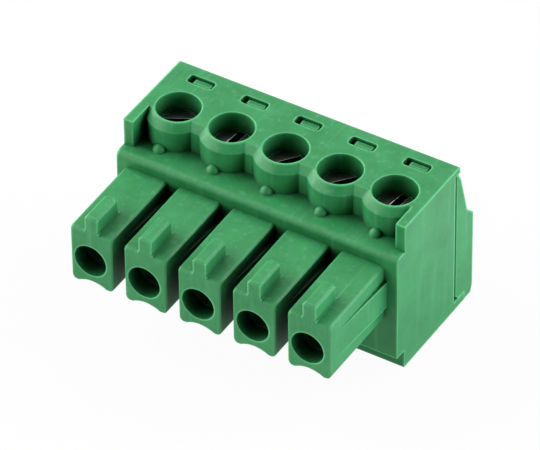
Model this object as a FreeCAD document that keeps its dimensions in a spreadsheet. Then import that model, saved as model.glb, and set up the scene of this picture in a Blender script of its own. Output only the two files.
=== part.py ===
import FreeCAD, Part
import math
import os
import re

import Sketcher

# Pluggable terminal block: five poles in a row, screws on top, sockets in front, wires from the back.
#
# Frame: X runs along the row of poles, the screw axes stand at Y = 0, the base lies at Z = 0.
# -Y is the side with the socket fingers, +Y the side where the wires go in, +Z is up.
# At rest every clamp is open: its cage hangs low and its screw is turned out.

# Driving sizes in millimetres. Fronts are measured from the screw axes towards the fingers,
# rears from the screw axes towards the wires, heights from the base.
SIZES = {
    # the row of poles
    "pole_count": 5,
    "pole_pitch": 3.81,
    "end_margin": 2.2575,
    # side profile of the housing
    "block_height": 11.1,
    "ledge_height": 9.17,
    "ledge_front": 3.55,
    "ledge_round": 0.42,
    "toe_height": 1.33,
    "toe_front": 2.68,
    "web_front": 1.2,
    "roof_rear": 3.86,
    "roof_edge": 0.46,
    "roof_thickness": 1.57,
    "wall_rear": 3.3,
    "floor_rear": 4.58,
    "floor_height": 0.62,
    "rear_round": 0.12,
    # ears at both ends of the ledge
    "ear_thickness": 0.667,
    "ear_front": 2.66,
    # screw bosses
    "boss_radius": 2.0,
    "rim_bevel": 0.45,
    "driver_hole_radius": 1.42,
    "dome_radius": 0.42,
    "dome_front": 2.1,
    "dome_offset": -0.1,
    # socket fingers
    "finger_width": 2.94,
    "finger_offset": -0.14,
    "finger_bottom": 4.0,
    "finger_top": 8.18,
    "finger_draft": 0.12,
    "finger_front": 9.81,
    "finger_round": 0.35,
    "finger_tip_round": 0.3,
    "finger_tip_bevel": 0.1,
    "arch_margin": 0.12,
    "arch_rise": 0.28,
    "flank_bottom": 5.2,
    "flank_top": 7.2,
    "flank_front": 8.8,
    "flank_spread": 0.24,
    "key_width": 0.9,
    "key_offset": -0.123,
    "key_height": 1.15,
    "key_length": 2.46,
    "key_setback": 0.05,
    "key_corner": 0.2,
    "key_bevel": 0.13,
    "key_foot_width": 0.08,
    "key_foot_height": 0.1,
    # sockets
    "pin_height": 5.935,
    "pin_offset": -0.22,
    "mouth_radius": 1.117,
    "mouth_depth": 1.2,
    "throat_radius": 0.75,
    # latch slots in the roof
    "latch_slot_width": 1.76,
    "latch_slot_offset": -0.04,
    "latch_slot_depth": 0.72,
    "latch_slot_rear": 2.69,
    "latch_slot_round": 0.2,
    # wire entry cover
    "cover_rear": 5.52,
    "cover_top_rear": 3.65,
    "cover_neck_rear": 3.99,
    "cover_neck_height": 10.0,
    "cover_waist_rear": 4.785,
    "cover_waist_height": 7.05,
    "cover_shoulder_height": 6.35,
    "cover_round": 0.3,
    "cover_foot_rear": 5.33,
    "cover_foot_height": 0.62,
    "cover_lift": 0.04,
    "seam_width": 0.17,
    "seam_depth": 0.35,
    "seam_foot_height": 0.48,
    "seam_foot_length": 0.52,
    "entry_height": 3.7,
    "entry_width": 2.1,
    "entry_tall": 2.3,
    "entry_mouth_width": 2.9,
    "entry_mouth_tall": 3.3,
    "entry_lead": 1.1,
    "tongue_width": 1.2,
    "tongue_offset": 0.02,
    "tongue_top_drop": 0.2,
    "tongue_gap": 0.25,
    "tongue_thickness": 0.6,
    # clamp screws
    "head_radius": 1.15,
    "head_height": 0.5,
    "collar_radius": 1.5,
    "collar_height": 0.77,
    "shank_radius": 0.95,
    "driver_slot_width": 0.5,
    "driver_slot_depth": 0.45,
    "slot_turn_1": 28.0,
    "slot_turn_2": 84.0,
    "slot_turn_3": 53.0,
    "slot_turn_4": 52.0,
    "slot_turn_5": 83.0,
    # clamp cages
    "cage_width": 2.75,
    "cage_depth": 3.0,
    "cage_wall": 0.4,
    "cage_nut_thickness": 0.8,
    "cage_floor_thickness": 0.55,
    "wire_space": 2.2,
    # contacts
    "bar_width": 1.7,
    "bar_thickness": 0.6,
    "bar_top": 5.4,
    "bar_root": 3.4,
    "fork_root_length": 0.8,
    "fork_height": 1.4,
    "fork_half_width": 0.85,
    "fork_front": 7.9,
    "grip_front": 7.0,
    "grip_half_gap": 0.36,
    "leaf_thickness": 0.3,
    # clearances
    "running_clearance": 0.06,
    "thread_clearance": 0.05,
    "cage_clearance": 0.075,
    "contact_clearance": 0.05,
    "seat_clearance": 0.02,
}

# Sizes that follow from the driving ones.
FIRST_POLE = "(1 - pole_count) * pole_pitch / 2"
HALF_LENGTH = "((pole_count - 1) * pole_pitch / 2 + end_margin)"
ROOF_UNDERSIDE = "(block_height - roof_thickness)"
COLLAR_TOP = f"({ROOF_UNDERSIDE} - running_clearance)"
COLLAR_BOTTOM = f"({COLLAR_TOP} - collar_height)"
HEAD_TOP = f"({COLLAR_TOP} + head_height)"
COLLAR_SEAT = f"({COLLAR_BOTTOM} - running_clearance)"
CHANNEL_HALF = "(collar_radius + running_clearance)"
BAR_BOTTOM = "(bar_top - bar_thickness)"
CAGE_INNER_TOP = "(bar_top + contact_clearance)"
CAGE_INNER_BOTTOM = f"({BAR_BOTTOM} - wire_space)"
CAGE_BOTTOM = f"({CAGE_INNER_BOTTOM} - cage_floor_thickness)"
CAGE_TOP = f"({CAGE_INNER_TOP} + cage_nut_thickness)"
CHAMBER_HALF = "(cage_width / 2 + cage_clearance)"
CHAMBER_FRONT = "(cage_depth / 2 + cage_clearance)"
CHAMBER_FLOOR = f"({CAGE_BOTTOM} - cage_clearance)"
CAVITY_FRONT = "(fork_front + contact_clearance)"
FORK_TOP = "(pin_height + fork_height / 2)"
COVER_FRONT = "(wall_rear + seat_clearance)"
COVER_TOP = "(block_height - roof_edge - seat_clearance)"

# How far a cut or a joint between two features of one piece runs past the surface.
PAST = "0.2"

# How near an edge lies to a plane that it is counted as in it.
LEVEL = 0.001

doc = FreeCAD.newDocument("terminal_block")
sheet = doc.addObject("Spreadsheet::Sheet", "Sizes")
for row, (name, number) in enumerate(SIZES.items(), start=1):
    sheet.set(f"A{row}", name)
    sheet.set(f"B{row}", str(number))
    sheet.setAlias(f"B{row}", name)
doc.recompute()


def formula(text):
    """The text with every size's name turned into a reference to the sheet."""
    return re.sub(r"[a-z]\w+", lambda word: ("Sizes." if word[0] in SIZES else "") + word[0], text)


def value(text):
    """The number that a formula gives now."""
    return float(sheet.evalExpression(formula(text)))


def bind(feature, property_path, text):
    """Tie a property to a formula of the sheet's sizes."""
    feature.setExpression(property_path, formula(text))


def new_body(name, x=None, turn=None):
    """A piece of its own, moved to x and turned about its Z axis where these are given."""
    body = doc.addObject("PartDesign::Body", name)
    body.Label = name
    if turn:
        body.Placement.Rotation = FreeCAD.Rotation(FreeCAD.Vector(0, 0, 1), value(turn))
        bind(body, "Placement.Rotation.Angle", f"{turn} * 1 deg")
    if x:
        bind(body, "Placement.Base.x", x)
    return body


def origin_feature(body, role):
    """One of the body's own base planes or axes."""
    return next(feature for feature in body.Origin.OriginFeatures if feature.Role == role)


def new_sketch(body, name, plane, shift):
    """A sketch on a base plane: XY looks up, XZ looks to -Y, YZ looks to +X; shift is in its own axes."""
    sketch = body.newObject("Sketcher::SketchObject", name)
    sketch.AttachmentSupport = [(origin_feature(body, plane + "_Plane"), "")]
    sketch.MapMode = "FlatFace"
    for axis, text in zip("xyz", shift):
        bind(sketch, "AttachmentOffset.Base." + axis, text)
    return sketch


def constrain(sketch, *arguments, size=None):
    """Add one constraint, tied to a formula where it has a size."""
    number = [value(size)] if size else []
    index = sketch.addConstraint(Sketcher.Constraint(*arguments, *number))
    if size:
        bind(sketch, f"Constraints[{index}]", size)


def place_point(sketch, geometry, end, x, y):
    """Hold an end point at its distances from the sketch's origin."""
    constrain(sketch, "DistanceX", -1, 1, geometry, end, size=x)
    constrain(sketch, "DistanceY", -1, 1, geometry, end, size=y)


def outline(body, name, plane, corners, shift=("0", "0", "0")):
    """A closed sketch through corners (x, y) or, with a round, (x, y, radius)."""
    sketch = new_sketch(body, name, plane, shift)
    points = [FreeCAD.Vector(value(corner[0]), value(corner[1]), 0) for corner in corners]
    count = len(corners)
    starts, ends, arcs = [], [], []
    for i, corner in enumerate(corners):
        before = (points[i - 1] - points[i]).normalize()
        after = (points[(i + 1) % count] - points[i]).normalize()
        radius = value(corner[2]) if len(corner) > 2 else 0
        half_angle = before.getAngle(after) / 2
        cut_back = radius / math.tan(half_angle)
        ends.append(points[i] + before * cut_back)
        starts.append(points[i] + after * cut_back)
        centre = points[i] + (before + after).normalize() * (radius / math.sin(half_angle))
        arcs.append((centre, radius))
    for i in range(count):
        sketch.addGeometry(Part.LineSegment(starts[i], ends[(i + 1) % count]))
    for i, corner in enumerate(corners):
        line_in, line_out = (i - 1) % count, i
        if len(corner) == 2:
            constrain(sketch, "Coincident", line_in, 2, line_out, 1)
            place_point(sketch, line_out, 1, corner[0], corner[1])
            continue
        centre, radius = arcs[i]
        spoke_in, spoke_out = ends[i] - centre, starts[i] - centre
        turns_left = spoke_in.cross(spoke_out).z > 0
        first, last = (spoke_in, spoke_out) if turns_left else (spoke_out, spoke_in)
        angles = [math.atan2(spoke.y, spoke.x) for spoke in (first, last)]
        circle = Part.Circle(centre, FreeCAD.Vector(0, 0, 1), radius)
        arc = sketch.addGeometry(Part.ArcOfCircle(circle, angles[0], angles[1]))
        constrain(sketch, "Tangent", line_in, 2, arc, 1 if turns_left else 2)
        constrain(sketch, "Tangent", line_out, 1, arc, 2 if turns_left else 1)
        constrain(sketch, "Radius", arc, size=corner[2])
        sharp_corner = sketch.addGeometry(Part.Point(points[i]), True)
        constrain(sketch, "PointOnObject", sharp_corner, 1, line_in)
        constrain(sketch, "PointOnObject", sharp_corner, 1, line_out)
        place_point(sketch, sharp_corner, 1, corner[0], corner[1])
    return sketch


def circle(body, name, plane, radius, x, y, shift):
    """A sketch of one circle."""
    sketch = new_sketch(body, name, plane, shift)
    centre = FreeCAD.Vector(value(x), value(y), 0)
    ring = sketch.addGeometry(Part.Circle(centre, FreeCAD.Vector(0, 0, 1), value(radius)))
    constrain(sketch, "Radius", ring, size=radius)
    place_point(sketch, ring, 3, x, y)
    return sketch


def extrude(body, kind, sketch, length, symmetric=False, reverse=False):
    """A Pad or a Pocket of the sketch. A Pad runs with the sketch's normal, a Pocket against it."""
    feature = body.newObject("PartDesign::" + kind, sketch.Name + "_" + kind.lower())
    feature.Profile = sketch
    bind(feature, "Length", length)
    if symmetric:
        feature.SideType = "Symmetric"
    feature.Reversed = reverse
    return feature


def turn(body, kind, sketch):
    """A Revolution or a Groove of the sketch about its own vertical axis."""
    feature = body.newObject("PartDesign::" + kind, sketch.Name + "_" + kind.lower())
    feature.Profile = sketch
    feature.ReferenceAxis = (sketch, ["V_Axis"])
    feature.Angle = 360
    return feature


def pattern_poles(body, name, features):
    """Repeat what was made at the first pole at all the others."""
    pattern = body.newObject("PartDesign::LinearPattern", name)
    pattern.Originals = features
    pattern.Direction = (origin_feature(body, "X_Axis"), [""])
    bind(pattern, "Length", "(pole_count - 1) * pole_pitch")
    bind(pattern, "Occurrences", "pole_count")
    body.Tip = pattern


def mirror_ends(body, name, features):
    """Repeat what was made at the right end at the left end."""
    mirror = body.newObject("PartDesign::Mirrored", name)
    mirror.Originals = features
    mirror.MirrorPlane = (origin_feature(body, "YZ_Plane"), [""])
    body.Tip = mirror


def bevel_edges(body, name, size, meets):
    """A bevel along every edge of the body whose bounding box the test picks out."""
    doc.recompute()
    base = body.Tip
    edges = [f"Edge{i}" for i, edge in enumerate(base.Shape.Edges, start=1) if meets(edge.BoundBox)]
    assert edges, f"{name} finds no edges"
    bevel = body.newObject("PartDesign::Chamfer", name)
    bevel.Base = (base, edges)
    bind(bevel, "Size", size)


def rectangle(left, front, right, rear, radius=None):
    """The four corners of a rectangle, all rounded where a radius is given."""
    corners = [(left, front), (right, front), (right, rear), (left, rear)]
    return [corner + (radius,) for corner in corners] if radius else corners


def make_housing():
    """The one-piece moulded housing: block, ears, bosses, fingers, and the chambers inside."""
    body = new_body("housing")
    block = outline(body, "block", "YZ", [
        ("-toe_front", "0"),
        ("-toe_front", "toe_height"),
        ("-ledge_front", "toe_height"),
        ("-ledge_front", "ledge_height", "ledge_round"),
        ("-web_front", "ledge_height"),
        ("-web_front", "block_height - rim_bevel"),
        ("-web_front + rim_bevel", "block_height"),
        ("roof_rear", "block_height", "rear_round"),
        ("roof_rear", "block_height - roof_edge"),
        ("wall_rear", "block_height - roof_edge"),
        ("wall_rear", "floor_height"),
        ("floor_rear", "floor_height"),
        ("floor_rear", "0"),
    ])
    extrude(body, "Pad", block, f"2 * {HALF_LENGTH}", symmetric=True)

    ear = outline(body, "ear", "XY", rectangle(
        f"{HALF_LENGTH} - ear_thickness", "-ear_front", HALF_LENGTH, "0"),
        shift=("0", "0", f"ledge_height - {PAST}"))
    ear_pad = extrude(body, "Pad", ear, f"block_height - ledge_height + {PAST}")
    mirror_ends(body, "ears", [ear_pad])

    # everything below is drawn at the first pole, in distances from its screw axis
    features = [make_boss(body), make_dome(body)]
    features += make_finger(body)
    features += make_chamber(body)
    features += make_socket(body)
    pattern_poles(body, "poles", features)

    tip, key_top = -value("finger_front"), value("finger_top + key_height")
    round_start = value("finger_top - finger_tip_round")
    mouth_width = 2 * value("mouth_radius")
    bevel_edges(body, "key_edges", "key_bevel", lambda box: (
        box.ZMin > key_top - LEVEL and box.ZMax < key_top + LEVEL))
    bevel_edges(body, "tip_edges", "finger_tip_bevel", lambda box: (
        box.YMax < tip + LEVEL and box.ZMin < round_start - LEVEL
        and abs(box.XLength - mouth_width) > LEVEL))
    return body


def make_boss(body):
    """The round boss that carries a screw, its rim bevelled."""
    boss = outline(body, "boss", "XZ", [
        ("0", f"ledge_height - {PAST}"),
        ("boss_radius", f"ledge_height - {PAST}"),
        ("boss_radius", "block_height - rim_bevel"),
        ("boss_radius - rim_bevel", "block_height"),
        ("0", "block_height"),
    ], shift=(FIRST_POLE, "0", "0"))
    return turn(body, "Revolution", boss)


def make_dome(body):
    """The small half ball on the ledge at the foot of a boss."""
    dome = new_sketch(body, "dome", "XZ", (f"{FIRST_POLE} + dome_offset", "ledge_height", "dome_front"))
    radius, foot = value("dome_radius"), -value(PAST)
    centre, upwards = FreeCAD.Vector(0, 0, 0), FreeCAD.Vector(0, 0, 1)
    corners = [FreeCAD.Vector(0, radius, 0), FreeCAD.Vector(0, foot, 0),
               FreeCAD.Vector(radius, foot, 0), FreeCAD.Vector(radius, 0, 0)]
    arc = dome.addGeometry(Part.ArcOfCircle(Part.Circle(centre, upwards, radius), 0, math.pi / 2))
    axis, base, side = [dome.addGeometry(Part.LineSegment(corners[i], corners[i + 1])) for i in range(3)]
    constrain(dome, "Coincident", arc, 3, -1, 1)
    constrain(dome, "Radius", arc, size="dome_radius")
    constrain(dome, "PointOnObject", arc, 1, -1)
    constrain(dome, "PointOnObject", arc, 2, -2)
    constrain(dome, "Coincident", arc, 2, axis, 1)
    constrain(dome, "Coincident", axis, 2, base, 1)
    constrain(dome, "Coincident", base, 2, side, 1)
    constrain(dome, "Coincident", side, 2, arc, 1)
    place_point(dome, base, 1, "0", f"-{PAST}")
    place_point(dome, base, 2, "dome_radius", f"-{PAST}")
    return turn(body, "Revolution", dome)


def make_finger(body):
    """A socket finger with widening flanks, an arched underside and its coding key on top."""
    root = f"ledge_front - {PAST}"
    left, right = "finger_offset - finger_width / 2", "finger_offset + finger_width / 2"
    root_top = "finger_top + finger_draft"
    finger = outline(body, "finger", "XZ", [
        (left, "finger_bottom", "finger_round"),
        (right, "finger_bottom", "finger_round"),
        (right, root_top),
        (left, root_top),
    ], shift=(FIRST_POLE, "0", root))
    finger_pad = extrude(body, "Pad", finger, f"finger_front - ({root})")
    slope_start = "finger_top - 2 * finger_tip_round"
    slope = outline(body, "slope", "YZ", [
        ("-finger_front", slope_start),
        ("-finger_front", "finger_top", "finger_tip_round"),
        ("-ledge_front", root_top),
        ("-ledge_front", f"{root_top} + {PAST}"),
        (f"-finger_front - {PAST}", f"{root_top} + {PAST}"),
        (f"-finger_front - {PAST}", slope_start),
    ], shift=("0", "0", f"{FIRST_POLE} + finger_offset"))
    slope_cut = extrude(body, "Pocket", slope, f"finger_width + {PAST}", symmetric=True)

    flank = outline(body, "flank", "XY", [
        (left, "-flank_front"),
        (right, "-flank_front"),
        (f"{right} + flank_spread", f"-({root})"),
        (f"{left} - flank_spread", f"-({root})"),
    ], shift=(FIRST_POLE, "0", "flank_bottom"))
    flank_pad = extrude(body, "Pad", flank, "flank_top - flank_bottom")

    arch_span = "(finger_width - 2 * (finger_round + arch_margin))"
    arch_radius = f"({arch_span} ^ 2 / 8 / arch_rise + arch_rise / 2)"
    arch_centre = f"finger_bottom + arch_rise - {arch_radius}"
    arch = circle(body, "arch", "XZ", arch_radius, "finger_offset", arch_centre,
                  shift=(FIRST_POLE, "0", "ledge_front"))
    arch_cut = extrude(body, "Pocket", arch, f"finger_front - ledge_front + {PAST}", reverse=True)

    key_left, key_right = "key_offset - key_width / 2", "key_offset + key_width / 2"
    key_front = "-finger_front + key_setback"
    key_rear = f"{key_front} + key_length"
    key = outline(body, "key", "XY", [
        (key_left, key_front),
        (key_right, key_front),
        (key_right, f"{key_rear} - key_corner"),
        (f"{key_right} - key_corner", key_rear),
        (f"{key_left} + key_corner", key_rear),
        (key_left, f"{key_rear} - key_corner"),
    ], shift=(FIRST_POLE, "0", f"finger_top - {PAST}"))
    key_pad = extrude(body, "Pad", key, f"key_height + {PAST}")
    key_foot = outline(body, "key_foot", "XY", rectangle(
        f"{key_left} - key_foot_width", key_front, f"{key_right} + key_foot_width", key_rear),
        shift=(FIRST_POLE, "0", f"finger_top - {PAST}"))
    key_foot_pad = extrude(body, "Pad", key_foot, f"key_foot_height + {PAST}")
    return [finger_pad, slope_cut, flank_pad, arch_cut, key_pad, key_foot_pad]


def make_chamber(body):
    """The clamp chamber, the channel of the screw's collar above it, and the holes in the roof."""
    open_rear = f"wall_rear + {PAST}"
    chamber = outline(body, "chamber", "XY", rectangle(
        f"-{CHAMBER_HALF}", f"-{CHAMBER_FRONT}", CHAMBER_HALF, open_rear),
        shift=(FIRST_POLE, "0", COLLAR_SEAT))
    chamber_cut = extrude(body, "Pocket", chamber, f"{COLLAR_SEAT} - {CHAMBER_FLOOR}")

    channel = outline(body, "channel", "XY", [
        (f"-{CHANNEL_HALF}", f"-{CHANNEL_HALF}", "collar_radius"),
        (CHANNEL_HALF, f"-{CHANNEL_HALF}", "collar_radius"),
        (CHANNEL_HALF, open_rear),
        (f"-{CHANNEL_HALF}", open_rear),
    ], shift=(FIRST_POLE, "0", ROOF_UNDERSIDE))
    channel_cut = extrude(body, "Pocket", channel, f"{ROOF_UNDERSIDE} - {COLLAR_SEAT}")

    driver_hole = circle(body, "driver_hole", "XY", "driver_hole_radius", "0", "0",
                         shift=(FIRST_POLE, "0", "block_height"))
    driver_hole_cut = extrude(body, "Pocket", driver_hole, f"roof_thickness + {PAST}")

    half_width, half_depth = "latch_slot_width / 2", "latch_slot_depth / 2"
    latch_slot = outline(body, "latch_slot", "XY", rectangle(
        f"-{half_width}", f"latch_slot_rear - {half_depth}", half_width, f"latch_slot_rear + {half_depth}",
        "latch_slot_round"), shift=(f"{FIRST_POLE} + latch_slot_offset", "0", "block_height"))
    latch_slot_cut = extrude(body, "Pocket", latch_slot, "roof_thickness")
    return [chamber_cut, channel_cut, driver_hole_cut, latch_slot_cut]


def make_socket(body):
    """The mouth of a finger and the cavity of its contact, open to the clamp chamber."""
    mouth_end = "finger_front - mouth_depth"
    mouth = outline(body, "mouth", "XY", [
        ("0", f"-finger_front - {PAST}"),
        ("mouth_radius", f"-finger_front - {PAST}"),
        ("mouth_radius", f"-({mouth_end})"),
        ("throat_radius", f"-{CAVITY_FRONT}"),
        ("0", f"-{CAVITY_FRONT}"),
    ], shift=(f"{FIRST_POLE} + pin_offset", "0", "pin_height"))
    mouth_cut = turn(body, "Groove", mouth)

    cavity = outline(body, "cavity", "XZ", rectangle(
        "pin_offset - fork_half_width - contact_clearance", f"{BAR_BOTTOM} - contact_clearance",
        "bar_width / 2 + contact_clearance", f"{FORK_TOP} + contact_clearance"),
        shift=(FIRST_POLE, "0", f"{CHAMBER_FRONT} - {PAST}"))
    cavity_cut = extrude(body, "Pocket", cavity, f"{CAVITY_FRONT} - {CHAMBER_FRONT} + {PAST}", reverse=True)
    return [mouth_cut, cavity_cut]


def make_cover():
    """The rear cover that closes the chambers: funnels for the wires, tongues that catch in the roof."""
    body = new_body("wire_entry_cover")
    shell = outline(body, "shell", "YZ", [
        (COVER_FRONT, "floor_height + seat_clearance"),
        ("floor_rear + seat_clearance", "floor_height + seat_clearance"),
        ("floor_rear + seat_clearance", "cover_lift"),
        ("cover_foot_rear", "cover_lift"),
        ("cover_rear", "cover_foot_height"),
        ("cover_rear", "cover_shoulder_height", "cover_round"),
        ("cover_waist_rear", "cover_waist_height"),
        ("cover_neck_rear", "cover_neck_height"),
        ("cover_top_rear", COVER_TOP),
        (COVER_FRONT, COVER_TOP),
    ])
    extrude(body, "Pad", shell, f"2 * {HALF_LENGTH}", symmetric=True)

    seam = outline(body, "seam", "XY", rectangle(
        f"{HALF_LENGTH} - seam_depth", f"{COVER_FRONT} - {PAST}",
        f"{HALF_LENGTH} + {PAST}", f"{COVER_FRONT} + seam_width"),
        shift=("0", "0", "block_height"))
    seam_cut = extrude(body, "Pocket", seam, "block_height - floor_height")
    arm_bottom = "floor_height + seat_clearance"
    seam_foot = outline(body, "seam_foot", "YZ", [
        (f"{COVER_FRONT} - {PAST}", f"{arm_bottom} - {PAST}"),
        (f"{COVER_FRONT} + seam_foot_length", f"{arm_bottom} - {PAST}"),
        (f"{COVER_FRONT} + seam_foot_length", arm_bottom),
        (COVER_FRONT, f"{arm_bottom} + seam_foot_height"),
        (f"{COVER_FRONT} - {PAST}", f"{arm_bottom} + seam_foot_height"),
    ], shift=("0", "0", f"{HALF_LENGTH} + {PAST}"))
    seam_foot_cut = extrude(body, "Pocket", seam_foot, f"seam_depth + {PAST}")
    mirror_ends(body, "seams", [seam_cut, seam_foot_cut])

    # drawn at the first pole, in distances from its screw axis
    half_width, half_tall = "entry_width / 2", "entry_tall / 2"
    entry = outline(body, "entry", "XZ", rectangle(
        f"-{half_width}", f"entry_height - {half_tall}", half_width, f"entry_height + {half_tall}"),
        shift=(FIRST_POLE, "0", f"-cover_rear - {PAST}"))
    entry_cut = extrude(body, "Pocket", entry, f"cover_rear - wall_rear + 2 * {PAST}", reverse=True)

    mouth_width, mouth_tall = "entry_mouth_width / 2", "entry_mouth_tall / 2"
    funnel_mouth = outline(body, "funnel_mouth", "XZ", rectangle(
        f"-{mouth_width}", f"entry_height - {mouth_tall}", mouth_width, f"entry_height + {mouth_tall}"),
        shift=(FIRST_POLE, "0", "-cover_rear"))
    funnel_throat = outline(body, "funnel_throat", "XZ", rectangle(
        f"-{half_width}", f"entry_height - {half_tall}", half_width, f"entry_height + {half_tall}"),
        shift=(FIRST_POLE, "0", "-cover_rear + entry_lead"))
    funnel = body.newObject("PartDesign::SubtractiveLoft", "funnel")
    funnel.Profile = funnel_mouth
    funnel.Sections = [funnel_throat]
    funnel.Ruled = True

    tongue_top = "block_height - tongue_top_drop"
    tongue_front = "latch_slot_rear - latch_slot_depth / 2 + tongue_gap"
    tongue_rear = "latch_slot_rear + latch_slot_depth / 2 - contact_clearance"
    arm_top = f"{ROOF_UNDERSIDE} - contact_clearance"
    tongue = outline(body, "tongue", "YZ", [
        (tongue_front, f"{arm_top} - tongue_thickness"),
        (f"{COVER_FRONT} + {PAST}", f"{arm_top} - tongue_thickness"),
        (f"{COVER_FRONT} + {PAST}", arm_top),
        (tongue_rear, arm_top),
        (tongue_rear, tongue_top),
        (tongue_front, tongue_top),
    ], shift=("0", "0", f"{FIRST_POLE} + tongue_offset"))
    tongue_pad = extrude(body, "Pad", tongue, "tongue_width", symmetric=True)
    pattern_poles(body, "poles", [entry_cut, funnel, tongue_pad])
    return body


def pole_x(pole):
    """Where the pole with this number stands along the row."""
    return f"{FIRST_POLE} + {pole - 1} * pole_pitch"


def make_screw(pole):
    """A slotted screw, its collar held under the roof and its tip bearing on the contact bar."""
    body = new_body(f"clamp_screw_{pole}", pole_x(pole), f"slot_turn_{(pole - 1) % 5 + 1}")
    profile = outline(body, "profile", "XZ", [
        ("0", CAGE_INNER_TOP),
        ("shank_radius", CAGE_INNER_TOP),
        ("shank_radius", COLLAR_BOTTOM),
        ("collar_radius", COLLAR_BOTTOM),
        ("collar_radius", COLLAR_TOP),
        ("head_radius", COLLAR_TOP),
        ("head_radius", HEAD_TOP),
        ("0", HEAD_TOP),
    ])
    turn(body, "Revolution", profile)
    slot_reach, slot_half = f"(head_radius + {PAST})", "driver_slot_width / 2"
    slot = outline(body, "slot", "XY", rectangle(
        f"-{slot_reach}", f"-{slot_half}", slot_reach, slot_half), shift=("0", "0", HEAD_TOP))
    extrude(body, "Pocket", slot, "driver_slot_depth")
    return body


def make_cage(pole):
    """The clamp cage: a sleeve around the contact bar, open to the wire, its thick top wall threaded."""
    body = new_body(f"clamp_cage_{pole}", pole_x(pole))
    half = "cage_width / 2"
    sleeve = outline(body, "sleeve", "XZ", rectangle(f"-{half}", CAGE_BOTTOM, half, CAGE_TOP))
    extrude(body, "Pad", sleeve, "cage_depth", symmetric=True)
    inner_half = "(cage_width / 2 - cage_wall)"
    window = outline(body, "window", "XZ", rectangle(
        f"-{inner_half}", CAGE_INNER_BOTTOM, inner_half, CAGE_INNER_TOP))
    extrude(body, "Pocket", window, f"cage_depth + {PAST}", symmetric=True)
    thread = circle(body, "thread", "XY", "shank_radius + thread_clearance", "0", "0",
                    shift=("0", "0", CAGE_TOP))
    extrude(body, "Pocket", thread, f"cage_nut_thickness + {PAST}")
    return body


def make_contact(pole):
    """The stamped contact: a flat bar through the cage, and a fork that grips the header's pin."""
    body = new_body(f"contact_{pole}", pole_x(pole))
    bar = outline(body, "bar", "XY", rectangle(
        "-bar_width / 2", "-bar_root", "bar_width / 2", "cage_depth / 2"),
        shift=("0", "0", BAR_BOTTOM))
    extrude(body, "Pad", bar, "bar_thickness")
    heel = outline(body, "heel", "XY", rectangle(
        "-fork_half_width", "-bar_root", "fork_half_width", "-bar_root + fork_root_length"),
        shift=("pin_offset", "0", BAR_BOTTOM))
    extrude(body, "Pad", heel, f"{FORK_TOP} - {BAR_BOTTOM}")
    outer, grip = "fork_half_width", "grip_half_gap"
    fork = outline(body, "fork", "XY", [
        (f"-{outer}", "-bar_root + leaf_thickness"),
        (f"-{outer}", "-bar_root"),
        (f"-{grip} - leaf_thickness", "-grip_front"),
        (f"-{outer}", "-fork_front"),
        (f"-{outer} + leaf_thickness", "-fork_front"),
        (f"-{grip}", "-grip_front"),
        (f"-{outer} + leaf_thickness", "-bar_root"),
        (f"{outer} - leaf_thickness", "-bar_root"),
        (grip, "-grip_front"),
        (f"{outer} - leaf_thickness", "-fork_front"),
        (outer, "-fork_front"),
        (f"{grip} + leaf_thickness", "-grip_front"),
        (outer, "-bar_root"),
        (outer, "-bar_root + leaf_thickness"),
    ], shift=("pin_offset", "0", "pin_height - fork_height / 2"))
    extrude(body, "Pad", fork, "fork_height")
    return body


pieces = [make_housing(), make_cover()]
for number in range(1, int(SIZES["pole_count"]) + 1):
    pieces += [make_screw(number), make_cage(number), make_contact(number)]
doc.recompute()

for feature in doc.Objects:
    assert not {"Invalid", "Error"} & set(feature.State), f"{feature.Label} has failed"
    if feature.TypeId in ("PartDesign::Pocket", "PartDesign::Groove", "PartDesign::SubtractiveLoft"):
        assert feature.Shape.Volume < feature.BaseFeature.Shape.Volume, f"{feature.Label} cuts nothing"
for piece in pieces:
    assert not piece.Shape.isNull() and piece.Shape.isValid(), f"{piece.Label} has no valid shape"
    assert len(piece.Shape.Solids) == 1, f"{piece.Label} is not one solid"

os.makedirs("parts", exist_ok=True)
for piece in pieces:
    piece.Shape.exportStep(f"parts/{piece.Label}.step")
    print(f"{piece.Label}: {piece.Shape.Volume:.3f} mm3")
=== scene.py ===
# %% [markdown]
# A pluggable terminal block with five poles: a green moulded housing with socket fingers in front,
# slotted clamp screws under the round holes on top, and a cover with the wire entries at the back.
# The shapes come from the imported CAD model, and nothing here moves or resizes them. This script gives
# them their finishes, a white surrounding, soft studio light and the photograph's camera.

# %% Load the frame
import math

import bpy
from mathutils import Matrix, Vector

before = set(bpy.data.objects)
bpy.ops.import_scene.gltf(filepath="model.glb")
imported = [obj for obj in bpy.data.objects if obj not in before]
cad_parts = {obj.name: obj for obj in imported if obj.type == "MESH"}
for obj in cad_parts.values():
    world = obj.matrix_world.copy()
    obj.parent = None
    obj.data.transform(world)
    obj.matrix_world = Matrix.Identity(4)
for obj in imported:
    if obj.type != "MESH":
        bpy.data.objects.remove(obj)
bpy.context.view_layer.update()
MM = 0.001

# %% [markdown]
# Every finish here is built from shader nodes. They could be joined by hand in the shader editor, but a
# small helper that adds a node, sets its values and joins its inputs keeps each material short enough
# to read as a recipe. Some nodes name several inputs alike, and those are reached by their place.

# %% A helper that adds a node
def add_node(tree, kind, settings=None, **inputs):
    """Adds a node. Settings are its own properties. Inputs are values, or the sockets that feed it:
    Cloud_Size means the input "Cloud Size", and _0 means the first input."""
    node = tree.nodes.new(kind)
    for name, value in (settings or {}).items():
        setattr(node, name, value)
    for name, value in inputs.items():
        socket = node.inputs[int(name[1:])] if name[0] == "_" else node.inputs[name.replace("_", " ")]
        if isinstance(value, bpy.types.NodeSocket):
            tree.links.new(value, socket)
        else:
            socket.default_value = value
    return node


# %% [markdown]
# Four steps come back in every recipe: a calculation, a soft ramp between two values, a blend of two
# colours, and noise whose grains have a given size. They could be written out each time, but under a
# name of their own they say what they are for.

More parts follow.
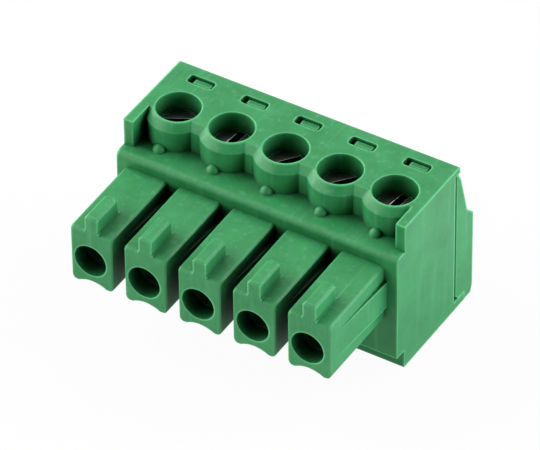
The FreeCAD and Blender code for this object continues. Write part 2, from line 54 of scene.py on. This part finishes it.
# %% Steps that the recipes share
def calculate(tree, operation, *values):
    """A Math node's result for two or three values."""
    places = {f"_{place}": value for place, value in enumerate(values)}
    return add_node(tree, "ShaderNodeMath", {"operation": operation}, **places).outputs[0]


def soft_ramp(tree, value, start, end):
    """From 0 where value is start to 1 where it is end, with a soft curve between them."""
    return add_node(tree, "ShaderNodeMapRange", {"interpolation_type": "SMOOTHSTEP"},
                    _0=value, _1=start, _2=end).outputs[0]


def blend_colors(tree, share, color, other):
    """The first colour where share is 0, the other where it is 1."""
    return add_node(tree, "ShaderNodeMix", {"data_type": "RGBA"},
                    _0=share, _6=color, _7=other).outputs[2]


def noise(tree, place, size, detail, roughness=0.5):
    """Smooth noise from 0 to 1 whose largest grains are about size metres across."""
    scale = calculate(tree, "DIVIDE", 1.0, size)
    return add_node(tree, "ShaderNodeTexNoise", Vector=place, Scale=scale, Detail=detail,
                    Roughness=roughness).outputs["Fac"]


# %% [markdown]
# An effect that several finishes share is a node group. Its nodes could be copied into each material,
# but a group is built once, and each material places it with its own amounts. It needs sockets for
# what goes in and for what comes out.

# %% Helpers for node groups
def new_group(name, inputs, outputs):
    """An empty group. Inputs map a socket's name to its type and value, outputs to its type."""
    group = bpy.data.node_groups.new(name, "ShaderNodeTree")
    for socket_name, (kind, value) in inputs.items():
        socket = group.interface.new_socket(socket_name, in_out="INPUT", socket_type="NodeSocket" + kind)
        socket.default_value = value
    for socket_name, kind in outputs.items():
        group.interface.new_socket(socket_name, in_out="OUTPUT", socket_type="NodeSocket" + kind)
    return group, group.nodes.new("NodeGroupInput"), group.nodes.new("NodeGroupOutput")


def give_out(group, result, sockets):
    """Joins each named output of the group to the socket that holds its value."""
    for name, socket in sockets.items():
        group.links.new(socket, result.inputs[name])
    print("group:", group.name, "gives", ", ".join(sockets))


# %% [markdown]
# Injection-moulded plastic is never one flat colour. The melt cools unevenly, so the surface has broad
# pale and dark clouds, and the steel mould leaves a fine grain that breaks up the gloss. A painted
# image could show that, but noise at the object's own place has no seams and stays sharp up close.
# Plated metal has clouds and grain too, of tarnish and brushing, so the group serves both.

# %% Clouds and grain
CLOUD_DETAIL, CLOUD_ROUGHNESS, GRAIN_DETAIL = 4.0, 0.6, 2.0
MIDDLE_OF_NOISE = 0.5


def make_moulded_surface():
    """Colour clouds, roughness and fine grain, in the frame's own metres."""
    group, given, result = new_group(
        "moulded surface",
        {"Color": ("Color", (0.1, 0.4, 0.2, 1)), "Pale Color": ("Color", (0.2, 0.5, 0.3, 1)),
         "Cloud Size": ("Float", 0.006), "Cloud Amount": ("Float", 0.4),
         "Grain Size": ("Float", 0.00012),
         "Roughness": ("Float", 0.4), "Roughness Change": ("Float", 0.08)},
        {"Color": "Color", "Roughness": "Float", "Grain": "Float"})
    chosen = given.outputs
    place = add_node(group, "ShaderNodeTexCoord").outputs["Object"]
    clouds = noise(group, place, chosen["Cloud Size"], CLOUD_DETAIL, CLOUD_ROUGHNESS)
    share = calculate(group, "MULTIPLY", clouds, chosen["Cloud Amount"])
    swing = calculate(group, "SUBTRACT", clouds, MIDDLE_OF_NOISE)
    give_out(group, result, {
        "Color": blend_colors(group, share, chosen["Color"], chosen["Pale Color"]),
        "Roughness": calculate(group, "MULTIPLY_ADD", swing, chosen["Roughness Change"],
                               chosen["Roughness"]),
        "Grain": noise(group, place, chosen["Grain Size"], GRAIN_DETAIL)})
    return group


moulded_surface = make_moulded_surface()

# %% [markdown]
# Sliding out of the mould and past other plugs leaves faint straight marks on flat plastic. They are
# long in one direction and hair-thin in the other, so a noise that is stretched along one axis makes
# them. Single scratches could be drawn as curves, but at this scale nobody would tell them from these.

# %% Straight marks
MARK_DETAIL, FULL_MARK = 3.0, 0.85


def make_fine_streaks():
    """Thin marks along one direction: a mask from 0, clean, to 1, marked."""
    group, given, result = new_group(
        "fine streaks",
        {"Stretch": ("Vector", (1.0, 1.0, 0.05)), "Turn": ("Vector", (0.0, 0.0, 0.0)),
         "Size": ("Float", 0.0004), "Threshold": ("Float", 0.6)},
        {"Mask": "Float"})
    chosen = given.outputs
    place = add_node(group, "ShaderNodeTexCoord").outputs["Object"]
    turned = add_node(group, "ShaderNodeVectorRotate", {"rotation_type": "EULER_XYZ"},
                      Vector=place, Rotation=chosen["Turn"])
    stretched = add_node(group, "ShaderNodeVectorMath", {"operation": "MULTIPLY"},
                         _0=turned.outputs[0], _1=chosen["Stretch"])
    marks = noise(group, stretched.outputs[0], chosen["Size"], MARK_DETAIL)
    give_out(group, result, {"Mask": soft_ramp(group, marks, chosen["Threshold"], FULL_MARK)})
    return group


fine_streaks = make_fine_streaks()

# %% [markdown]
# A moulding catches the light along its rounded outer edges, and its gaps and corners lie in shade.
# Real fillets on every edge would need many small faces, so Blender's Bevel node gives a rounded normal
# instead, and Ambient Occlusion tells how open a place is. The same node, turned to look into the body,
# finds the edges and bevels, because a ray from there soon leaves the body again. Only the open outer
# edges get the rounding and a mask for a painted highlight, and the openness is the mask for painted
# shade in the hollows. Corners that lie inwards keep their own crisp normal.

# %% Edges and hollows
BEVEL_SAMPLES, OPENNESS_SAMPLES = 6, 8
EDGE_RAMP = (0.99, 0.62)
HOLLOW_RAMP = (0.14, 0.72)
OUTER_RAMP = (0.55, 0.85)


def openness(group, reach, **settings):
    """How much of the space within reach is free: 1 in the open, near 0 deep in a hole."""
    settings = {"samples": OPENNESS_SAMPLES, "only_local": True, **settings}
    return add_node(group, "ShaderNodeAmbientOcclusion", settings, Distance=reach).outputs["AO"]


def make_edges_and_hollows():
    """A rounded normal, a mask of the open outer edges, and how open each place is."""
    group, given, result = new_group(
        "edges and hollows",
        {"Edge Radius": ("Float", 0.0001), "Rub Width": ("Float", 0.00015),
         "Hollow Reach": ("Float", 0.0015)},
        {"Normal": "Vector", "Edge": "Float", "Openness": "Float"})
    chosen = given.outputs
    rounded = add_node(group, "ShaderNodeBevel", {"samples": BEVEL_SAMPLES},
                       Radius=chosen["Edge Radius"])
    plain = add_node(group, "ShaderNodeNewGeometry")
    around = openness(group, chosen["Hollow Reach"])
    below = openness(group, chosen["Rub Width"], inside=True)
    outer = soft_ramp(group, around, *OUTER_RAMP)
    normal = add_node(group, "ShaderNodeMix", {"data_type": "VECTOR"},
                      _0=outer, _4=plain.outputs["Normal"], _5=rounded.outputs[0])
    give_out(group, result, {
        "Normal": normal.outputs[1],
        "Edge": calculate(group, "MULTIPLY", soft_ramp(group, below, *EDGE_RAMP), outer),
        "Openness": soft_ramp(group, around, *HOLLOW_RAMP)})
    return group


edges_and_hollows = make_edges_and_hollows()

# %% [markdown]
# The plastics and the metals end alike, in the Principled shader that a new material brings along. Their
# relief is only hundredths of a millimetre deep. Dents in the mesh would need millions of faces for
# that, so a Bump node tilts the shading instead.

# %% Helpers for materials
RELIEF_DEPTH = 0.01 * MM


def new_material(name):
    """A material, its node tree and its Principled shader."""
    material = bpy.data.materials.new(name)
    material.use_nodes = True
    return material, material.node_tree, material.node_tree.nodes["Principled BSDF"]


def join_to_shader(tree, shader, color, roughness, height, strength, normal):
    """Sends colour, roughness and a fine relief to the shader."""
    relief = add_node(tree, "ShaderNodeBump", Strength=strength, Distance=RELIEF_DEPTH,
                      Height=height, Normal=normal)
    tree.links.new(color, shader.inputs["Base Color"])
    tree.links.new(roughness, shader.inputs["Roughness"])
    tree.links.new(relief.outputs[0], shader.inputs["Normal"])


# %% [markdown]
# The housing and its cover are green polyamide: a strong pigment, half matt, with a soft sheen where
# light grazes it. One plain green would look like paint, so the colour is laid on in layers: clouds of
# pigment first, then straight marks up the walls and along the fingers, kept pale as a painted sheen,
# then a painted highlight that pales the edges. Last, painted shade darkens the base colour in the
# hollows.

# %% The greens and their sizes
GREEN = (0.010, 0.185, 0.045, 1)
PALE_GREEN = (0.052, 0.385, 0.128, 1)
# The marks' green is partly their own, and is kept pale and bluish as a painted sheen.
MARK_AND_SHEEN_GREEN = (0.150, 0.480, 0.270, 1)
# The edges' green is a painted highlight.
EDGE_HIGHLIGHT_GREEN = (0.160, 0.760, 0.300, 1)
# The hollows' green is painted shade.
PAINTED_SHADE_GREEN = (0.0005, 0.006, 0.002, 1)
CLOUD_SIZE, CLOUD_AMOUNT = 1.8 * MM, 1.0
EDGE_RADIUS = 0.21 * MM
HIGHLIGHT_WIDTH = 0.15 * MM
HOLLOW_REACH = 3.0 * MM
MARK_AND_SHEEN_SHARE, HIGHLIGHT_SHARE = 0.42, 0.7
MARK_HEIGHT, PLASTIC_RELIEF = 0.4, 0.12
PLASTIC_IOR, PLASTIC_SPECULAR = 1.53, 0.4
print("plastic: edges of", EDGE_RADIUS / MM, "mm, hollows within", HOLLOW_REACH / MM, "mm")

# %% [markdown]
# The housing and the cover come out of two moulds, so the cover is a little more matt, and its marks run
# straight up, while the housing's lean a little. They could be two materials, each built by hand, but
# one recipe with those two amounts keeps their greens alike.

# %% Green moulded plastic
def make_green_plastic(name, roughness, turn):
    """Pigmented polyamide: clouds, grain, marks with painted sheen, painted edge highlight, painted
    hollow shade.
    """
    material, tree, shader = new_material(name)
    surface = add_node(tree, "ShaderNodeGroup", {"node_tree": moulded_surface}, Color=GREEN,
                       Pale_Color=PALE_GREEN, Cloud_Size=CLOUD_SIZE, Cloud_Amount=CLOUD_AMOUNT,
                       Roughness=roughness)
    upright = add_node(tree, "ShaderNodeGroup", {"node_tree": fine_streaks}, Threshold=0.52, Turn=turn)
    lengthwise = add_node(tree, "ShaderNodeGroup", {"node_tree": fine_streaks}, Threshold=0.62,
                          Stretch=(1.0, 0.02, 1.0), Size=0.22 * MM)
    shape = add_node(tree, "ShaderNodeGroup", {"node_tree": edges_and_hollows},
                     Edge_Radius=EDGE_RADIUS, Rub_Width=HIGHLIGHT_WIDTH, Hollow_Reach=HOLLOW_REACH)

    marks = calculate(tree, "MAXIMUM", upright.outputs["Mask"], lengthwise.outputs["Mask"])
    mark_and_sheen_share = calculate(tree, "MULTIPLY", marks, MARK_AND_SHEEN_SHARE)
    highlight_share = calculate(tree, "MULTIPLY", shape.outputs["Edge"], HIGHLIGHT_SHARE)
    # Marks and painted sheen: the marks are blended towards a pale, bluish green.
    color = blend_colors(tree, mark_and_sheen_share, surface.outputs["Color"], MARK_AND_SHEEN_GREEN)
    # Painted highlight: the open outer edges are blended towards a bright green.
    color = blend_colors(tree, highlight_share, color, EDGE_HIGHLIGHT_GREEN)
    # Painted shade: the colour goes almost black where little of the space around is open.
    color = blend_colors(tree, shape.outputs["Openness"], PAINTED_SHADE_GREEN, color)

    height = calculate(tree, "MULTIPLY_ADD", marks, MARK_HEIGHT, surface.outputs["Grain"])
    join_to_shader(tree, shader, color, surface.outputs["Roughness"], height, PLASTIC_RELIEF,
                   shape.outputs["Normal"])
    shader.inputs["IOR"].default_value = PLASTIC_IOR
    shader.inputs["Specular IOR Level"].default_value = PLASTIC_SPECULAR
    print("finish:", name, "with", len(tree.nodes), "nodes")
    return material


housing_green = make_green_plastic("green polyamide", 0.42, (0.03, 0.0, 0.2))
cover_green = make_green_plastic("green polyamide cover", 0.46, (0.0, 0.0, 0.0))

# %% [markdown]
# The metal parts are plated steel and tinned bronze. One plain metal would look like chrome, but real
# plating is dulled by a fine brushing and by dark tarnish in patches, so noise drives both the colour
# and the roughness. Their outer edges get a painted highlight of pale steel. The screws' colour is far
# darker than the rest, as painted shade for the bottom of a hole, where little but the painted highlight
# on the edges of a slot shines.

# %% Plated metals
# A painted highlight: pale steel laid on the outer edges of every metal.
EDGE_HIGHLIGHT_STEEL = (0.85, 0.84, 0.82, 1)
TARNISH = {"Cloud_Size": 1.2 * MM, "Cloud_Amount": 0.9, "Roughness_Change": 0.25}
METAL_EDGES = {"Edge_Radius": 0.05 * MM, "Rub_Width": 0.04 * MM, "Hollow_Reach": 0.3 * MM}
METAL_RELIEF = 0.2


def make_plated_metal(name, color, tarnish, roughness, grain_size):
    """A plated metal with uneven tarnish, a fine turned or brushed grain and painted edge highlights."""
    material, tree, shader = new_material(name)
    surface = add_node(tree, "ShaderNodeGroup", {"node_tree": moulded_surface}, Color=color,
                       Pale_Color=tarnish, Roughness=roughness, Grain_Size=grain_size, **TARNISH)
    shape = add_node(tree, "ShaderNodeGroup", {"node_tree": edges_and_hollows}, **METAL_EDGES)
    # Painted highlight: the outer edges are blended to pale steel.
    highlighted = blend_colors(tree, shape.outputs["Edge"], surface.outputs["Color"], EDGE_HIGHLIGHT_STEEL)
    join_to_shader(tree, shader, highlighted, surface.outputs["Roughness"], surface.outputs["Grain"],
                   METAL_RELIEF, shape.outputs["Normal"])
    shader.inputs["Metallic"].default_value = 1.0
    print("finish:", name, "with", len(tree.nodes), "nodes")
    return material


# The screw's colours are kept dark as painted shade, for the bottom of its hole.
screw_steel = make_plated_metal(
    "zinc plated steel", (0.11, 0.115, 0.11, 1), (0.03, 0.04, 0.035, 1), 0.3, 0.09 * MM)
cage_steel = make_plated_metal(
    "nickel plated steel", (0.62, 0.59, 0.53, 1), (0.4, 0.38, 0.35, 1), 0.28, 0.15 * MM)
contact_tin = make_plated_metal(
    "tinned bronze", (0.66, 0.65, 0.62, 1), (0.45, 0.44, 0.42, 1), 0.3, 0.1 * MM)

# %% [markdown]
# The pieces keep the shapes that the frame gives them, and each gets the finish of what it is made of.
# All seventeen could be listed by name, but the five screws, cages and contacts are named alike but for
# a number, so the start of a name is enough to choose by.

# %% Give every piece its finish
FINISHES = {"housing": housing_green, "wire_entry_cover": cover_green, "clamp_screw": screw_steel,
            "clamp_cage": cage_steel, "contact": contact_tin}


def finish_of(node_name):
    """The finish whose key begins the node's name."""
    return next(finish for start, finish in FINISHES.items() if node_name.startswith(start))


for node_name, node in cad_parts.items():
    node.data.materials.clear()
    node.data.materials.append(finish_of(node_name))
print("pieces with a finish:", len(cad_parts))

# %% [markdown]
# The photograph was taken with a long lens from well away, so the object shows almost no perspective.
# The camera could be placed by eye, but the lines of the poles in the picture, fitted to the model, fix
# its place and its small roll closely, and its lens is as long as that of the picture.

# %% The camera
AZIMUTH, ELEVATION, ROLL = 31.837, 40.769, -0.7005
DISTANCE = 359.293 * MM
TARGET = Vector((0.889, -3.351, 7.873)) * MM
FOCAL_PIXELS, PICTURE_WIDTH = 5984.647, 540
SENSOR_WIDTH = 36.0
NEAREST_SEEN = 10 * MM

azimuth, elevation = math.radians(AZIMUTH), math.radians(ELEVATION)
back = Vector((math.sin(azimuth) * math.cos(elevation), -math.cos(azimuth) * math.cos(elevation),
               math.sin(elevation)))
camera_data = bpy.data.cameras.new("camera")
camera_data.sensor_width = SENSOR_WIDTH
camera_data.lens = FOCAL_PIXELS / PICTURE_WIDTH * SENSOR_WIDTH
camera_data.clip_start = NEAREST_SEEN
camera = bpy.data.objects.new("camera", camera_data)
bpy.context.collection.objects.link(camera)
stand = Matrix.Translation(TARGET + back * DISTANCE)
level = back.to_track_quat("Z", "Y").to_matrix().to_4x4()
camera.matrix_world = stand @ level @ Matrix.Rotation(math.radians(ROLL), 4, "Z")
bpy.context.scene.camera = camera
print("camera at", [round(c / MM, 1) for c in camera.location], "mm")

# %% [markdown]
# The floor is white paper, which takes the object's soft shadow and throws light up at the fingers. More
# light would make it whiter but would bleach the object too. So to the camera the floor is almost wholly
# a plain white of its own, and a share of that white shows in glossy surfaces.

# %% White floor
WHITE = (1.0, 1.0, 1.0, 1)
PAPER = (0.8, 0.8, 0.8, 1)
SEEN_WHITE, MIRRORED_WHITE = 0.95, 0.25
FLOOR_HALF = 0.6


def make_white_floor():
    """White paper for light, and plain white with a faint shadow for the camera."""
    material = bpy.data.materials.new("white ground")
    material.use_nodes = True
    tree = material.node_tree
    tree.nodes.clear()
    rays = add_node(tree, "ShaderNodeLightPath").outputs
    mirrored = calculate(tree, "MULTIPLY", rays["Is Glossy Ray"], MIRRORED_WHITE)
    share = calculate(tree, "MULTIPLY_ADD", rays["Is Camera Ray"], SEEN_WHITE, mirrored)
    paper = add_node(tree, "ShaderNodeBsdfDiffuse", Color=PAPER)
    white = add_node(tree, "ShaderNodeEmission", Color=WHITE, Strength=1.0)
    mixed = add_node(tree, "ShaderNodeMixShader", _0=share, _1=paper.outputs[0], _2=white.outputs[0])
    add_node(tree, "ShaderNodeOutputMaterial", Surface=mixed.outputs[0])
    return material


floor_mesh = bpy.data.meshes.new("floor")
corners = [(x * FLOOR_HALF, y * FLOOR_HALF, 0) for x, y in ((-1, -1), (1, -1), (1, 1), (-1, 1))]
floor_mesh.from_pydata(corners, [], [(0, 1, 2, 3)])
floor_mesh.materials.append(make_white_floor())
floor = bpy.data.objects.new("floor", floor_mesh)
bpy.context.collection.objects.link(floor)
print("floor:", 2 * FLOOR_HALF, "m square")

# %% [markdown]
# Beyond the floor lies the world. The camera sees it as the same white. To the object it is almost dark,
# because the lamps alone should light it, and a bright world would wash out the hollows.

# %% White surrounding
ROOM_LIGHT = 0.04

world = bpy.data.worlds.new("white room")
bpy.context.scene.world = world
world.use_nodes = True
sky = world.node_tree
sky.nodes.clear()
room = add_node(sky, "ShaderNodeBackground", Color=WHITE, Strength=ROOM_LIGHT)
bright = add_node(sky, "ShaderNodeBackground", Color=WHITE, Strength=1.0)
seen = add_node(sky, "ShaderNodeLightPath").outputs["Is Camera Ray"]
sky_mix = add_node(sky, "ShaderNodeMixShader", _0=seen, _1=room.outputs[0], _2=bright.outputs[0])
add_node(sky, "ShaderNodeOutputWorld", Surface=sky_mix.outputs[0])
print("world:", world.name, "lights the object with", ROOM_LIGHT)

# %% [markdown]
# The object stands as in a light tent: soft boxes all round, half a metre away, low ones level with its
# sides and high ones above them. One big lamp would be simpler, but it leaves faces black that the
# photograph shows in soft green. Each box has its own power. The right side gets the most, so the end
# wall is the palest face, and the two low boxes there are a little cool, for the bluish sheen on it.

# %% Soft boxes
CENTRE = Vector((0.0, -0.002, 0.006))
LOW_SIZE, HIGH_SIZE = 0.22, 0.3
NEUTRAL_WHITE = (1.0, 1.0, 1.0)
COOL_WHITE = (0.97, 0.97, 1.12)
# name: place and side in metres, power in watts, colour
SOFT_BOXES = {
    "left low": ((-0.485, 0.0, 0.121), LOW_SIZE, 1.15, NEUTRAL_WHITE),
    "left high": ((-0.347, 0.0, 0.36), HIGH_SIZE, 1.2, NEUTRAL_WHITE),
    "behind high": ((-0.157, 0.337, 0.335), HIGH_SIZE, 0.35, NEUTRAL_WHITE),
    "behind right high": ((0.263, 0.263, 0.335), HIGH_SIZE, 1.1, NEUTRAL_WHITE),
    "right low": ((0.485, 0.0, 0.121), LOW_SIZE, 1.1, COOL_WHITE),
    "behind right low": ((0.343, 0.343, 0.121), LOW_SIZE, 0.85, COOL_WHITE),
    "front left low": ((-0.343, -0.343, 0.121), LOW_SIZE, 0.8, NEUTRAL_WHITE),
    "front left high": ((-0.263, -0.263, 0.335), HIGH_SIZE, 0.6, NEUTRAL_WHITE)}


def add_soft_box(name, position, size, power, color):
    """A square area lamp that looks at the object's centre."""
    lamp_data = bpy.data.lights.new(name, "AREA")
    lamp_data.size = size
    lamp_data.energy = power
    lamp_data.color = color
    lamp = bpy.data.objects.new(name, lamp_data)
    bpy.context.collection.objects.link(lamp)
    look = (CENTRE - Vector(position)).to_track_quat("-Z", "Y").to_matrix().to_4x4()
    lamp.matrix_world = Matrix.Translation(position) @ look
    print(name, "at", position, "with", power, "W")


for box_name, settings in SOFT_BOXES.items():
    add_soft_box("soft box " + box_name, *settings)

# %% [markdown]
# Blender's usual view makes bright colours paler, as film does. The greens here are written as they
# should appear, so the plain Standard view shows them.

# %% Colours are shown as they are
bpy.context.scene.view_settings.view_transform = "Standard"
print("view:", bpy.context.scene.view_settings.view_transform)
